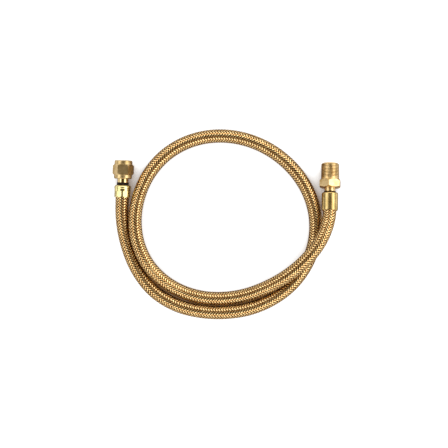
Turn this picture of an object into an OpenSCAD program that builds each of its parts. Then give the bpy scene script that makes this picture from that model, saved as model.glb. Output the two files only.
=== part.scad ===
// Braided supply line: a rubber hose in a metal braid, with a swivel nut crimped on one end
// and a male pipe thread on the other, lying in one and a half loose turns.
// Millimetres, +Z up from the floor that it lies on, origin under the middle of the loops.

/* [Hose] */
// Outside diameter over the braid
hose_od = 12.7; // [11.5:0.1:12.7]
// Radial thickness of the braid
braid_wall = 0.7; // [0.5:0.05:0.9]
// Water way of the rubber tube
liner_bore = 8; // [7:0.1:8.4]

/* [Stems, both ends] */
// Neck between the hose end and the fitting
neck_d = 10.3; // [9.8:0.1:10.8]
// Water way through the stem
stem_bore = 5.6; // [4.5:0.1:6]
// Barbs along the tail in the hose
barb_count = 4; // [2:1:5]
// How far a barb stands into the rubber
barb_bite = 0.35; // [0.2:0.05:0.5]
// Distance from the ferrule's mouth to the tail's tip inside it
tail_inset = 1.5; // [0.5:0.1:3]

/* [Ferrules] */
// Wall of the plain ferrule on the male end
male_ferrule_wall = 1.55; // [1.25:0.05:1.9]
// Length of the plain ferrule
male_ferrule_l = 17; // [14:0.1:20]
// Rounding of the plain ferrule's shoulder
male_ferrule_round = 1.4; // [0.6:0.1:1.6]
// Length of the drawn-in mouth of the plain ferrule
male_ferrule_mouth = 1.4; // [0.5:0.1:2.5]
// Wall of the crimped ferrule at its bulge, on the nut end
nut_ferrule_wall = 1.6; // [1.4:0.05:1.9]
// Length of the crimped ferrule
nut_ferrule_l = 11.6; // [11:0.1:15]
// Rounding of the bulge along the axis
nut_ferrule_round = 2.3; // [1.8:0.1:2.4]
// Wall of the crimped band
crimp_wall = 1.3; // [1.05:0.05:1.35]
// Flats that the crimping jaws press round the band
crimp_flats = 8; // [6:1:10]
// Depth of a crimped flat below the band
crimp_depth = 0.4; // [0.2:0.05:0.5]
// Length of the crimped flats
crimp_l = 5.4; // [3:0.1:6]
// Plain rim between the ferrule's mouth and the crimped flats
crimp_rim = 0.6; // [0.3:0.1:1.5]
// Thickness of the inturned lip that stops the braid
lip = 1.2; // [0.8:0.1:1.6]
// Bite of the crimp into the braid
crimp_bite = 0.1; // [0.05:0.01:0.2]
// Bare rubber past the ferrule on the nut end
nut_rubber = 2.3; // [1:0.1:3]
// Bare rubber past the ferrule on the male end
male_rubber = 1.2; // [0.5:0.1:2]

/* [Swivel nut] */
// Size across the flats, 11/16 in
nut_af = 17.46; // [17:0.01:19.05]
// Length of the turned collar at the mouth
nut_front = 3.6; // [2:0.1:4.5]
// Length of the turned collar at the back
nut_back = 3.4; // [2:0.1:4.5]
// Step from the flats down to the turned collars
collar_step = 0.23; // [0.05:0.01:0.4]
// Chamfer on the collars' edges
collar_chamfer = 0.7; // [0.3:0.1:0.8]
// Height of the cones that trim the hex corners
nut_cone = 1.5; // [0.8:0.1:2]
// Thread diameter, 9/16 in
nut_thread_d = 14.3; // [14:0.05:14.6]
// Thread length, mouth chamfer included
nut_thread_l = 7.3; // [5:0.1:10]
// Chamfer of the thread's mouth
nut_mouth_chamfer = 0.4; // [0.2:0.1:0.5]
// Relief of the chamber behind the thread
chamber_relief = 0.25; // [0.2:0.05:0.35]
// Wall behind the stem's flange
nut_shoulder = 3.2; // [2:0.1:4]
// Bare neck behind the nut
nut_neck_l = 3.7; // [2:0.1:8]

/* [Stem head and washer] */
// Room round the flange that the nut pulls on, so that it passes the thread
flange_room = 0.75; // [0.65:0.05:1.1]
// Thickness of the flange
flange_l = 2; // [1.5:0.1:3]
// Wall of the nose that the washer sits on
nose_wall = 0.9; // [0.7:0.05:1.1]
// Length of the nose
nose_l = 2.2; // [1:0.1:3]
// Inset of the rubber cone washer's base from the flange's edge
washer_inset = 0.1; // [0.05:0.05:0.5]
// Washer diameter at its tip
washer_tip_d = 9.6; // [9:0.1:11]
// Length of the washer
washer_l = 4.5; // [3.5:0.1:6]
// Straight stretch at the washer's base
washer_base = 1.5; // [0.8:0.1:2.5]

/* [Male end] */
// Size across the flats, 3/4 in
male_af = 19.05; // [18.6:0.01:20.6]
// Length of the hex
male_hex_l = 8.2; // [6:0.1:12]
// Turn of the hex about the axis
male_hex_turn = 22.5; // [0:0.5:60]
// How much smaller the turned face on the thread side is than the flats
male_trim_front = 1.25; // [0.6:0.05:1.4]
// Height of the cone on the thread side of the hex
male_cone_front = 2.2; // [1:0.1:2.5]
// How much smaller the turned face on the neck side is than the flats
male_trim_back = 0.85; // [0.5:0.05:3]
// Height of the cone on the neck side of the hex
male_cone_back = 1.2; // [0.6:0.1:2]
// Thread diameter, 3/8 in pipe
male_thread_d = 17.1; // [16.6:0.1:17.6]
// Thread length
male_thread_l = 15.2; // [10:0.1:20]
// Chamfer at the thread's tip
male_tip_chamfer = 1.2; // [0.5:0.1:2]
// Countersink of the water way at the tip
male_countersink = 1; // [0.3:0.1:2]
// Bare neck behind the hex
male_neck_l = 3.6; // [2:0.1:8]

/* [Fits] */
// Running clearance of the swivel nut on the stem
swivel_clear = 0.1; // [0.05:0.01:0.2]
// Clearance of the rubber through the ferrule's lip, and of the washer on the nose
rubber_clear = 0.1; // [0.05:0.01:0.15]
// Free length between the washer's tip and the thread
seat_room = 0.3; // [0.1:0.1:1]

/* [Lay] */
// Left ferrule's mouth, across
nut_mouth_x = -98.5; // [-99.5:0.1:-97.5]
// Left ferrule's mouth, up the page
nut_mouth_y = 25.6; // [24:0.1:27]
// Swing of the nut end to the right
nut_swing = 1.9; // [0:0.1:4]
// Right ferrule's mouth, across
male_mouth_x = 98.2; // [97.5:0.1:99]
// Right ferrule's mouth, up the page
male_mouth_y = 13; // [12:0.1:14]
// Swing of the male end to the right
male_swing = 1; // [0:0.1:4]
// Dip of the male end towards the floor
male_dip = 8; // [7:0.1:9]
// Sides of the swept hose
hose_sides = 12; // [8:2:12]
// Rings of the swept hose for each step of its route
rings_per_step = 2; // [1:1:2]

/* [Hidden] */
$fn = 96;
eps = 0.01;
// Centre that the route's bearings are taken about
loop_centre = [0, 6];
// Route from the nut end to the male end: bearing in degrees, distance from the centre, height of the axis.
// The second turn climbs over the first twice: on the left, where it lies half on it, and at the crossing.
lay = [
    [180, 98.5, 8.4], [195, 97.3, 7.1], [210, 97.6, 6.4], [225, 97.6, 6.35], [240, 95.4, 6.35],
    [255, 92, 6.35], [270, 89.8, 6.35], [285, 89.1, 6.35], [300, 88.8, 6.35], [315, 88.8, 6.35],
    [330, 88.2, 6.35], [345, 87, 6.35], [360, 85, 6.35], [375, 82.4, 6.35], [390, 79.8, 6.35],
    [405, 77.8, 6.35], [420, 76.8, 6.35], [435, 76.8, 6.35], [450, 77.7, 6.35], [465, 79.3, 6.35],
    [480, 81.2, 6.35], [495, 83, 6.8], [510, 84.2, 8.4], [525, 85.2, 11.2], [540, 86.2, 14.3],
    [555, 86.7, 15.8], [570, 86.2, 14.2], [585, 84.2, 10.5], [600, 81.4, 7.4], [615, 78.6, 6.4],
    [630, 76.4, 6.4], [645, 75.6, 8.2], [660, 76.2, 12], [675, 79.2, 16.3], [690, 84.4, 19.3],
    [705, 91.4, 19.6], [713, 94.9, 17.8]
];

// Diameters that follow from what each piece fits on
liner_od = hose_od - 2 * braid_wall;
ferrule_bore = hose_od - 2 * crimp_bite;
lip_bore = liner_od + 2 * rubber_clear;
male_ferrule_d = ferrule_bore + 2 * male_ferrule_wall;
nut_ferrule_d = ferrule_bore + 2 * nut_ferrule_wall;
crimp_d = ferrule_bore + 2 * crimp_wall;
collar_d = nut_af - 2 * collar_step;
chamber_d = nut_thread_d + 2 * chamber_relief;
flange_d = nut_thread_d - 2 * flange_room;
nose_d = stem_bore + 2 * nose_wall;
washer_d = flange_d - 2 * washer_inset;
male_face_front = male_af - male_trim_front;
male_face_back = male_af - male_trim_back;

// Places along each fitting's axis, measured outwards from its ferrule's mouth
nut_stem_start = nut_ferrule_l + nut_rubber;
nut_start = nut_stem_start + nut_neck_l;
flange_start = nut_start + nut_shoulder + swivel_clear;
washer_start = flange_start + flange_l;
thread_start = washer_start + washer_l + seat_room;
nut_end = thread_start + nut_thread_l;
male_stem_start = male_ferrule_l + male_rubber;
male_hex_start = male_stem_start + male_neck_l;
male_thread_start = male_hex_start + male_hex_l;
male_end = male_thread_start + male_thread_l;

// The nut lies on a flat. The male end dips until the lowest corner of its hex meets the floor.
hex_low = male_hex_turn - 60 * floor(male_hex_turn / 60) - 30;
male_hex_foot = male_thread_start - male_cone_front;
male_mouth_z = male_hex_foot * sin(male_dip) + corner(male_af) * cos(hex_low) * cos(male_dip);
nut_mouth = [nut_mouth_x, nut_mouth_y, nut_af / 2];
male_mouth = [male_mouth_x, male_mouth_y, male_mouth_z];
nut_axis = [sin(nut_swing), cos(nut_swing), 0];
male_axis = [sin(male_swing) * cos(male_dip), cos(male_swing) * cos(male_dip), -sin(male_dip)];

// Half the size across the corners of a hexagon
function corner(af) = af / 2 / cos(30);

function unit(v) = v / norm(v);

// The route in space, mouth to mouth
route = concat(
    [nut_mouth],
    [for (p = lay) [loop_centre.x + p[1] * cos(p[0]), loop_centre.y + p[1] * sin(p[0]), p[2]]],
    [male_mouth]
);
last = len(route) - 1;

// Direction of travel at a point of the route: the fitting's axis at the ends, and between them
// the mean of the two chords, with the shorter chord weighing more
function heading(i) =
    i == 0 ? -nut_axis :
    i == last ? male_axis :
    let (before = route[i] - route[i - 1], after = route[i + 1] - route[i])
    (before / norm(before) * norm(after) + after / norm(after) * norm(before)) / (norm(before) + norm(after));

// Point at a share t of the way from one point of the route to the next, on a smooth cubic
function between(i, t) =
    let (a = route[i], b = route[i + 1], far = norm(b - a))
    (1 + 2 * t) * (1 - t) ^ 2 * a + t * (1 - t) ^ 2 * far * heading(i)
    + t ^ 2 * (3 - 2 * t) * b - t ^ 2 * (1 - t) * far * heading(i + 1);

// The route's centre line with a number of points for each step
function centre_line(per_step) = concat(
    [for (i = [0 : last - 1], k = [0 : per_step - 1]) between(i, k / per_step)],
    [route[last]]
);

function travelled(line) = [for (i = 1, s = 0; i < len(line); s = s + norm(line[i] - line[i - 1]), i = i + 1) s];

// Least distance between points of the line that are more than half a turn apart
function least_apart(line, far) = min([
    for (i = [0 : len(line) - far - 1], j = [i + far : len(line) - 1]) norm(line[i] - line[j])
]);

fine = 8;
fine_line = centre_line(fine);
half_turn = 12;
hose_l = max(travelled(fine_line));
echo(hose_between_ferrules = hose_l, overall = hose_l + nut_end + male_end);
echo(least_gap_of_hose_to_itself = least_apart(fine_line, half_turn * fine) - hose_od);

// Ring of points square to the travel at one point of a line
function ring(line, i, r) =
    let (
        back = i == 0 ? line[1] - line[0] : line[i] - line[i - 1],
        on = i == len(line) - 1 ? back : line[i + 1] - line[i],
        way = unit(unit(back) + unit(on)),
        side = unit(cross(way, [0, 0, 1])),
        up = cross(side, way)
    )
    [for (k = [0 : hose_sides - 1]) let (a = 360 * (k + 0.5) / hose_sides) line[i] + r * (cos(a) * side + sin(a) * up)];

// Hollow tube swept along the route, running on straight into the ferrules for nut_in and male_in
module hose(outer_d, inner_d, nut_in, male_in) {
    n = hose_sides;
    line = concat(
        [nut_mouth + nut_in * nut_axis],
        centre_line(rings_per_step),
        [male_mouth + male_in * male_axis]
    );
    rings = len(line);
    points = [for (d = [outer_d, inner_d], i = [0 : rings - 1]) each ring(line, i, d / 2)];
    inner = rings * n;
    end = (rings - 1) * n;
    skin = [
        for (i = [0 : rings - 2], k = [0 : n - 1])
        let (a = i * n + k, b = i * n + (k + 1) % n, c = b + n, d = a + n)
        each [
            [a, b, c], [a, c, d],
            [inner + a, inner + c, inner + b], [inner + a, inner + d, inner + c]
        ]
    ];
    caps = [
        for (k = [0 : n - 1])
        let (a = k, b = (k + 1) % n)
        each [
            [inner + a, inner + b, b], [inner + a, b, a],
            [end + a, end + b, inner + end + b], [end + a, inner + end + b, inner + end + a]
        ]
    ];
    polyhedron(points = points, faces = concat(skin, caps), convexity = 10);
}

// Puts a fitting, modelled along +Z from its ferrule's mouth, on its end of the hose
module at_nut_end() {
    translate(nut_mouth) rotate([-90, 0, -nut_swing]) children();
}

module at_male_end() {
    translate(male_mouth) rotate([-90 - male_dip, 0, -male_swing]) children();
}

// Hex bar from z = 0, its corners trimmed by a cone at each end down to the given face diameters
module hex_bar(af, l, back_d, back_cone, front_d, front_cone) {
    intersection() {
        cylinder(r = corner(af), h = l, $fn = 6);
        rotate_extrude() polygon([
            [0, 0], [back_d / 2, 0], [corner(af), back_cone],
            [corner(af), l - front_cone], [front_d / 2, l], [0, l]
        ]);
    }
}

// Half outline of a barbed tail from its tip inside the ferrule to the end of the rubber
module tail_outline(stem_start) {
    root = liner_bore / 2;
    pitch = (stem_start - tail_inset) / (barb_count + 1);
    polygon(concat(
        [[0, tail_inset]],
        [for (i = [0 : barb_count - 1]) each [
            [root - (i == 0 ? barb_bite : 0), tail_inset + i * pitch],
            [root + barb_bite, tail_inset + (i + 0.8) * pitch],
            [root, tail_inset + (i + 0.8) * pitch]
        ]],
        [[root, stem_start], [0, stem_start]]
    ));
}

module braid_sleeve() {
    color("#b98a4e") hose(hose_od, liner_od, nut_ferrule_l - lip, male_ferrule_l - lip);
}

module inner_tube() {
    color("#1c1b1a") hose(liner_od, liner_bore, nut_stem_start, male_stem_start);
}

module nut_ferrule() {
    bulge_at = nut_ferrule_l - nut_ferrule_round;
    core_r = nut_ferrule_d / 2 - nut_ferrule_round;
    color("#d9c47a") at_nut_end() difference() {
        rotate_extrude() {
            square([core_r, nut_ferrule_l]);
            translate([core_r, bulge_at]) circle(nut_ferrule_round);
            square([crimp_d / 2, bulge_at]);
        }
        // jaw flats
        difference() {
            translate([0, 0, crimp_rim]) cylinder(d = 2 * crimp_d, h = crimp_l);
            translate([0, 0, crimp_rim - eps])
                cylinder(
                    r = (crimp_d / 2 - crimp_depth) / cos(180 / crimp_flats),
                    h = crimp_l + 2 * eps, $fn = crimp_flats
                );
        }
        // braid seat, and the way for the rubber through the lip
        translate([0, 0, -eps]) cylinder(d = ferrule_bore, h = nut_ferrule_l - lip + eps);
        translate([0, 0, -eps]) cylinder(d = lip_bore, h = nut_ferrule_l + 2 * eps);
    }
}

module male_ferrule() {
    r = male_ferrule_d / 2;
    core_r = r - male_ferrule_round;
    body_l = male_ferrule_l - male_ferrule_round;
    mouth_r = r - crimp_depth;
    color("#b8974f") at_male_end() difference() {
        rotate_extrude() {
            polygon([[0, 0], [mouth_r, 0], [r, male_ferrule_mouth], [r, body_l], [0, body_l]]);
            square([core_r, male_ferrule_l]);
            translate([core_r, body_l]) circle(male_ferrule_round);
        }
        translate([0, 0, -eps]) cylinder(d = ferrule_bore, h = male_ferrule_l - lip + eps);
        translate([0, 0, -eps]) cylinder(d = lip_bore, h = male_ferrule_l + 2 * eps);
    }
}

module nut_stem() {
    nose_end = washer_start + nose_l;
    color("#c0a060") at_nut_end() difference() {
        union() {
            rotate_extrude() tail_outline(nut_stem_start);
            translate([0, 0, nut_stem_start]) cylinder(d = neck_d, h = flange_start - nut_stem_start);
            translate([0, 0, flange_start]) cylinder(d = flange_d, h = flange_l);
            translate([0, 0, washer_start]) cylinder(d = nose_d, h = nose_l);
        }
        translate([0, 0, tail_inset - eps]) cylinder(d = stem_bore, h = nose_end - tail_inset + 2 * eps);
    }
}

module seat_washer() {
    color("#232120") at_nut_end() translate([0, 0, washer_start]) difference() {
        rotate_extrude() polygon([
            [0, 0], [washer_d / 2, 0], [washer_d / 2, washer_base],
            [washer_tip_d / 2, washer_l], [0, washer_l]
        ]);
        translate([0, 0, -eps]) cylinder(d = nose_d + 2 * rubber_clear, h = washer_l + 2 * eps);
    }
}

module swivel_nut() {
    l = nut_end - nut_start;
    hex_l = l - nut_front - nut_back;
    color("#ab8a4b") at_nut_end() translate([0, 0, nut_start]) difference() {
        union() {
            translate([0, 0, nut_back]) hex_bar(nut_af, hex_l, collar_d, nut_cone, collar_d, nut_cone);
            rotate_extrude() polygon([
                [0, 0], [collar_d / 2 - collar_chamfer, 0], [collar_d / 2, collar_chamfer],
                [collar_d / 2, l - collar_chamfer], [collar_d / 2 - collar_chamfer, l], [0, l]
            ]);
        }
        translate([0, 0, -eps]) cylinder(d = neck_d + 2 * swivel_clear, h = nut_shoulder + 2 * eps);
        translate([0, 0, nut_shoulder]) cylinder(d = chamber_d, h = thread_start - nut_start - nut_shoulder);
        translate([0, 0, nut_shoulder]) cylinder(d = nut_thread_d, h = l - nut_shoulder + eps);
        translate([0, 0, l - nut_mouth_chamfer])
            cylinder(d1 = nut_thread_d, d2 = nut_thread_d + 2 * nut_mouth_chamfer, h = nut_mouth_chamfer + eps);
    }
}

module male_stem() {
    color("#ad8444") at_male_end() difference() {
        union() {
            rotate_extrude() tail_outline(male_stem_start);
            translate([0, 0, male_stem_start]) cylinder(d = neck_d, h = male_neck_l);
            translate([0, 0, male_hex_start]) rotate(male_hex_turn)
                hex_bar(male_af, male_hex_l, male_face_back, male_cone_back, male_face_front, male_cone_front);
            translate([0, 0, male_thread_start]) rotate_extrude() polygon([
                [0, 0], [male_thread_d / 2, 0], [male_thread_d / 2, male_thread_l - male_tip_chamfer],
                [male_thread_d / 2 - male_tip_chamfer, male_thread_l], [0, male_thread_l]
            ]);
        }
        translate([0, 0, tail_inset - eps]) cylinder(d = stem_bore, h = male_end - tail_inset + 2 * eps);
        translate([0, 0, male_end - male_countersink])
            cylinder(d1 = stem_bore, d2 = stem_bore + 2 * male_countersink, h = male_countersink + eps);
    }
}

braid_sleeve();
inner_tube();
nut_ferrule();
male_ferrule();
nut_stem();
male_stem();
swivel_nut();
seat_washer();
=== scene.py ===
"""Looks of a braided supply line: woven wire, turned brass ends and rubber, built round the packed model."""

import math

import bmesh
import bpy
import numpy as np
from mathutils import Euler, Matrix, Vector


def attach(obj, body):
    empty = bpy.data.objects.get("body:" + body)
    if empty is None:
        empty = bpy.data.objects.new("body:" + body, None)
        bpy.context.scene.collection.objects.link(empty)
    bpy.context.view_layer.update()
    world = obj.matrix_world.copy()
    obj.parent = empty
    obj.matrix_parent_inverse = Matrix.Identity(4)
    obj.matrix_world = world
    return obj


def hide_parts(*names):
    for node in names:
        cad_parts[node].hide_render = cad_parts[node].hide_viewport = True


bl_info = {
    "name": "Braided supply line",
    "version": (1, 0, 0),
    "blender": (4, 5, 0),
    "location": "3D View > Sidebar > Supply line",
    "description": "Models a braided supply line with its brass ends and its studio",
    "category": "Add Mesh",
}

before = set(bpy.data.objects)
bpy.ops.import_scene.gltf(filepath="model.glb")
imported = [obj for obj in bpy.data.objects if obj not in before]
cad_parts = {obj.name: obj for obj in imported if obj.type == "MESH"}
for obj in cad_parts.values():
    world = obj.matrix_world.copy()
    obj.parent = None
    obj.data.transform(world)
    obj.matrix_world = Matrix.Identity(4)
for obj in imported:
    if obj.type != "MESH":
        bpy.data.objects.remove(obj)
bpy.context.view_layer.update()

MM = 0.001
MM_PER_INCH = 25.4
FULL_TURN = 2 * math.pi

# Points closer together than MERGE become one, and faces closer than TOUCH count as lying in one place
MERGE = MM / 1000
TOUCH = MM / 100

# Width of the picture in pixels, what one pixel shows in mm, and how far the camera sees in m
PICTURE_WIDTH = 448
MM_PER_PIXEL = 0.95
FAR_CLIP = 100

# Where the hose lies: bearing in degrees and distance in mm about the centre of the loops, and height in mm,
# from the nut end to the male end
LOOP_CENTRE = (0, 6)
LAY = (
    (180, 98.5, 8.4), (195, 97.3, 7.1), (210, 97.6, 6.4), (225, 97.6, 6.35), (240, 95.4, 6.35),
    (255, 92, 6.35), (270, 89.8, 6.35), (285, 89.1, 6.35), (300, 88.8, 6.35), (315, 88.8, 6.35),
    (330, 88.2, 6.35), (345, 87, 6.35), (360, 85, 6.35), (375, 82.4, 6.35), (390, 79.8, 6.35),
    (405, 77.8, 6.35), (420, 76.8, 6.35), (435, 76.8, 6.35), (450, 77.7, 6.35), (465, 79.3, 6.35),
    (480, 81.2, 6.35), (495, 83, 6.8), (510, 84.2, 8.4), (525, 85.2, 11.2), (540, 86.2, 14.3),
    (555, 86.7, 15.8), (570, 86.2, 14.2), (585, 84.2, 10.5), (600, 81.4, 7.4), (615, 78.6, 6.4),
    (630, 76.4, 6.4), (645, 75.6, 8.2), (660, 76.2, 12), (675, 79.2, 16.3), (690, 84.4, 19.3),
    (705, 91.4, 19.6), (713, 94.9, 17.8),
)

# Light of the studio by height, from 0 at the horizon to 1 overhead, as brightness and how warm it is: a ring
# of white soft boxes stands all round, and above them is a dark ceiling of bare wood
STUDIO = (
    (0.0, 0.4, 0.0), (0.35, 1.0, 0.0), (0.48, 3.2, 0.0), (0.76, 3.2, 0.0), (0.83, 1.0, 0.2),
    (0.91, 0.14, 1.0), (1.0, 0.1, 1.0),
)
# What is left of red, green and blue where the studio is at its warmest
WARM = (1.0, 0.72, 0.3)

# Share of open sky over the floor at which it is as dark as it gets and at which it is white, to the eye and
# mirrored in metal
SHADE_SEEN = (0.18, 0.62)
SHADE_MIRRORED = (0.9, 1.0)

# Turned pieces: sides of a full turn, half the angle that one flat of a hex takes up, and the angle below
# which two faces are shaded as one surface
SIDES = 96
HALF_FLAT = math.radians(30)
SMOOTH_BELOW = math.radians(38)

# A corner of an outline is rounded if half its angle lies between these, by at most this share of its sides
SHARPEST = math.radians(5)
BLUNTEST = math.radians(85)
SIDE_SHARE = 0.45

# Where a thread's crest ends and its root starts, from 0 at the crest's middle to 1 at the root's
CREST_EDGE = 0.52
ROOT_EDGE = 0.94
# What lies deeper than this share of a thread's depth is no longer thread
PAST_ROOT = 1.02
# Turns in which the pipe thread grows to its full depth
RUN_IN = 2
# Share of a barb's pitch that slopes up to its edge
BARB_SLOPE = 0.8
# Lengths over which the jaw flats run in from the rim and run out towards the bulge
JAW_IN = 0.6 * MM
JAW_OUT = 0.9 * MM

# Section of a wire, as shares of its diameter across and outwards, and how much painted shade each corner
# gets:
# the outer face gets none and stays bright, and the flanks are painted dark as shade
WIRE_SECTION = (
    (-0.46, 0.5, 0.0), (0.46, 0.5, 0.0), (0.5, 0.2, 0.95),
    (0.46, -0.5, 1.0), (-0.46, -0.5, 1.0), (-0.5, 0.2, 0.95),
)
CORNERS = len(WIRE_SECTION)
# The faces that close a wire's end, as corners of its section, and the corners that bound its outer face
WIRE_END = ((0, 1, 2, 5), (5, 2, 3, 4))
OUTER_CORNERS = 2

# A strand's wave: the crossings in it, two over and two under, the place of its crown counted in crossings,
# the rings of points along it, and how far its crowns and dips are flattened
CROSSINGS = 4
CROWN = 0.5
RINGS = 6
FLATTENING = 1.4
# How a strand strays: the length of each of two waves in hose diameters, and its share of the wander
STRAYS = ((11, 1.0), (2.3, 0.6))
# Painted shade and tone of a wire: the painted shade that its dips add where it goes under its neighbours,
# how far down they add it in full, where 2 is the bottom, and the range of random tone by which single wires
# differ
DIP_SHADE = 0.85
DIP_SHADE_LOW = 0.8
WIRE_TONES = (-0.1, 0.15)
# Pieces that the strands each way are shared out to, and the start of the random draws
PIECES = 3
SEED = 12


def linear(hex_colour):
    """An sRGB hex value as linear red, green, blue and an alpha of 1."""
    parts = [int(hex_colour[i:i + 2], 16) / 255 for i in (1, 3, 5)]
    return (*[p / 12.92 if p <= 0.04045 else ((p + 0.055) / 1.055) ** 2.4 for p in parts], 1.0)


def length(name, description, mm):
    """A length that a user may change, given in mm."""
    return bpy.props.FloatProperty(
        name=name, description=description, default=mm * MM, unit="LENGTH", precision=5
    )


def angle(name, description, degrees):
    """An angle that a user may change, given in degrees."""
    return bpy.props.FloatProperty(
        name=name, description=description, default=math.radians(degrees), unit="ROTATION"
    )


def place_of(name, description, *mm):
    """A place that a user may change, given in mm."""
    return bpy.props.FloatVectorProperty(
        name=name, description=description, default=[part * MM for part in mm], unit="LENGTH", precision=5
    )


def count(name, description, number):
    """A number of like things that a user may change."""
    return bpy.props.IntProperty(name=name, description=description, default=number)


def amount(name, description, level):
    """A plain number that a user may change."""
    return bpy.props.FloatProperty(name=name, description=description, default=level)


def colour(name, description, hex_colour):
    """A colour that a user may change, given as an sRGB hex value."""
    return bpy.props.FloatVectorProperty(
        name=name, description=description, default=linear(hex_colour), size=4, subtype="COLOR"
    )


class HoseSizes(bpy.types.PropertyGroup):
    """Hose and braid"""

    outside: length("Outside", "Diameter over the crowns of the braid", 12.7)
    tube: length("Tube", "Outside diameter of the rubber tube", 11.3)
    bore: length("Bore", "Water way of the rubber tube", 8)
    wire: length("Wire", "Diameter of one wire of the braid", 0.26)
    dip: length("Dip", "How far a strand goes down under the others", 0.42)
    lay: length("Lay", "Length of hose in which a strand goes once round", 30.7)
    wander: length("Wander", "How far a strand strays from its even spacing", 0.07)
    strands: count("Strands", "Strands each way, a multiple of six", 12)
    wires: count("Wires", "Wires side by side in a strand", 4)


class EndSizes(bpy.types.PropertyGroup):
    """Places of the two ends, and what both have"""

    nut_mouth: place_of("Nut end", "Middle of the crimped ferrule's mouth", -98.5, 25.6, 8.73)
    nut_swing: angle("Nut swing", "Swing of the nut end to the right", 1.9)
    male_mouth: place_of("Male end", "Middle of the plain ferrule's mouth", 98.2, 13, 14.6673)
    male_swing: angle("Male swing", "Swing of the male end to the right", 1)
    male_dip: angle("Male dip", "Dip of the male end towards the floor", 8)
    neck: length("Neck", "Diameter of the stems between hose and fitting", 10.3)
    water_way: length("Water way", "Bore through the stems", 5.6)
    tail: length("Tail", "Root diameter of the barbed tails", 8)
    bite: length("Bite", "How far a barb stands into the rubber", 0.35)
    inset: length("Inset", "From a ferrule's mouth to the tail's tip", 1.5)
    barbs: count("Barbs", "Barbs on each tail", 4)
    nut_rubber: length("Nut rubber", "Bare rubber past the crimped ferrule", 2.3)
    male_rubber: length("Male rubber", "Bare rubber past the plain ferrule", 1.2)
    ease: length("Ease", "Rounding left on turned edges", 0.18)


class FerruleSizes(bpy.types.PropertyGroup):
    """Ferrules"""

    bore: length("Bore", "Inside diameter over the crimped braid", 12.5)
    lip: length("Lip", "Thickness of the inturned lip", 1.2)
    lip_bore: length("Lip bore", "Hole that the rubber comes out of", 11.5)
    male: length("Plain", "Outside diameter of the plain ferrule", 15.6)
    male_length: length("Plain length", "Length of the plain ferrule", 17)
    male_round: length("Plain round", "Rounding of the plain ferrule's shoulder", 1.4)
    male_mouth: length("Plain mouth", "Length of the plain ferrule's drawn-in mouth", 1.4)
    nut: length("Crimped", "Outside diameter of the crimped ferrule's bulge", 15.7)
    nut_length: length("Crimped length", "Length of the crimped ferrule", 11.6)
    nut_round: length("Crimped round", "Rounding of the bulge along the axis", 2.3)
    band: length("Band", "Diameter of the crimped band", 15.1)
    jaw_depth: length("Jaw depth", "Depth of the jaw flats and of the drawn-in mouth", 0.32)
    jaw_length: length("Jaw length", "Length of the jaw flats", 5.4)
    jaw_rim: length("Jaw rim", "Plain rim before the jaw flats", 0.6)
    jaws: count("Jaws", "Flats pressed round the band", 8)


class NutSizes(bpy.types.PropertyGroup):
    """Swivel nut, its stem and its washer"""

    flats: length("Flats", "Size across the flats", 17.46)
    start: length("Start", "From the ferrule's mouth to the back of the nut", 17.6)
    long: length("Length", "Length of the nut", 17.4)
    front: length("Front", "Length of the collar at the mouth", 3.6)
    back: length("Back", "Length of the collar at the back", 3.4)
    collar: length("Collar", "Diameter of the turned collars", 17)
    chamfer: length("Chamfer", "Chamfer on the collars' edges", 0.7)
    cone: length("Cone", "Height of the cones that trim the corners", 1.5)
    thread: length("Thread", "Outside diameter of the thread", 14.3)
    thread_length: length("Thread length", "Length of the thread, chamfer included", 7.3)
    pitch: length("Pitch", "Pitch of the thread, 24 to the inch", MM_PER_INCH / 24)
    depth: length("Depth", "Depth of the thread", 0.6)
    mouth: length("Mouth", "Chamfer of the thread's mouth", 0.4)
    chamber: length("Chamber", "Diameter behind the thread", 14.8)
    shoulder: length("Shoulder", "Wall behind the stem's flange", 3.2)
    hole: length("Hole", "Hole that the neck turns in", 10.5)
    flange: length("Flange", "Diameter of the stem's flange", 12.8)
    flange_start: length("Flange start", "From the ferrule's mouth to the flange", 20.9)
    flange_length: length("Flange length", "Thickness of the flange", 2)
    nose: length("Nose", "Diameter of the nose that carries the washer", 7.4)
    nose_length: length("Nose length", "Length of the nose", 2.2)
    washer: length("Washer", "Diameter of the washer's base", 12.6)
    washer_tip: length("Washer tip", "Diameter of the washer's tip", 9.6)
    washer_hole: length("Washer hole", "Hole of the washer", 7.6)
    washer_length: length("Washer length", "Length of the washer", 4.5)
    washer_base: length("Washer base", "Straight stretch of the washer's base", 1.5)


class MaleSizes(bpy.types.PropertyGroup):
    """Male end"""

    flats: length("Flats", "Size across the flats", 19.05)
    start: length("Start", "From the ferrule's mouth to the back of the hex", 21.8)
    hex_length: length("Hex length", "Length of the hex", 8.2)
    turn: angle("Turn", "Turn of the hex about the axis", 22.5)
    face_back: length("Back face", "Turned face on the neck side of the hex", 18.2)
    cone_back: length("Back cone", "Height of the cone on the neck side", 1.2)
    face_front: length("Front face", "Turned face on the thread side of the hex", 17.8)
    cone_front: length("Front cone", "Height of the cone on the thread side", 2.2)
    thread: length("Thread", "Outside diameter of the pipe thread", 17.1)
    thread_length: length("Thread length", "Length of the pipe thread", 15.2)
    pitch: length("Pitch", "Pitch of the thread, 18 to the inch", MM_PER_INCH / 18)
    depth: length("Depth", "Depth of the thread", 0.45)
    tip: length("Tip", "Chamfer at the thread's tip", 1.2)
    sink: length("Sink", "Countersink of the water way", 1)


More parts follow.
